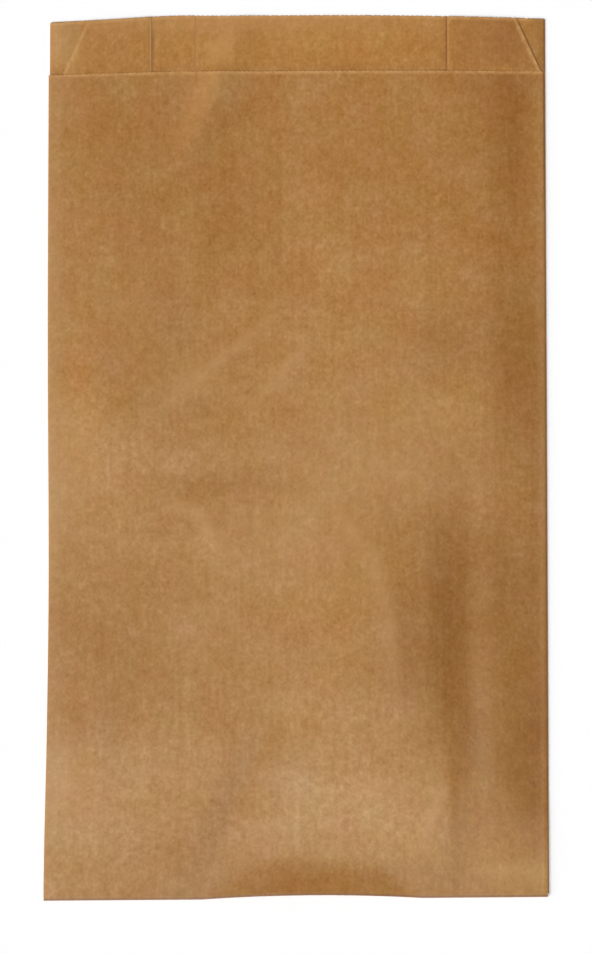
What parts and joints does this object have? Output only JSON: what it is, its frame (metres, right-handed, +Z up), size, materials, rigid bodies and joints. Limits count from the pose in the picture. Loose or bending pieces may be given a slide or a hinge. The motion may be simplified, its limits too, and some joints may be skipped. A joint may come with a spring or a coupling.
{
  "type": "paper croissant bag",
  "caption": "Flat kraft paper bakery bag with pleated sides, a glued fold-under bottom and a stepped, pinked mouth with a lip at the back, lying empty on its back.",
  "frame": {"origin": "under the middle of the bag, on the surface that its back panel lies on", "axes": "+X to the right across the bag, +Y from the bottom fold to the mouth, +Z up, out of the front panel"},
  "size_m": [0.1704, 0.3028, 0.0036],
  "materials": {
    "kraft_paper": "unbleached brown kraft paper, machine glazed, with a faint sheen and fine fibre mottling"
  },
  "bodies": {
    "root": {"paper_bag": "kraft_paper"}
  },
  "joints": []
}
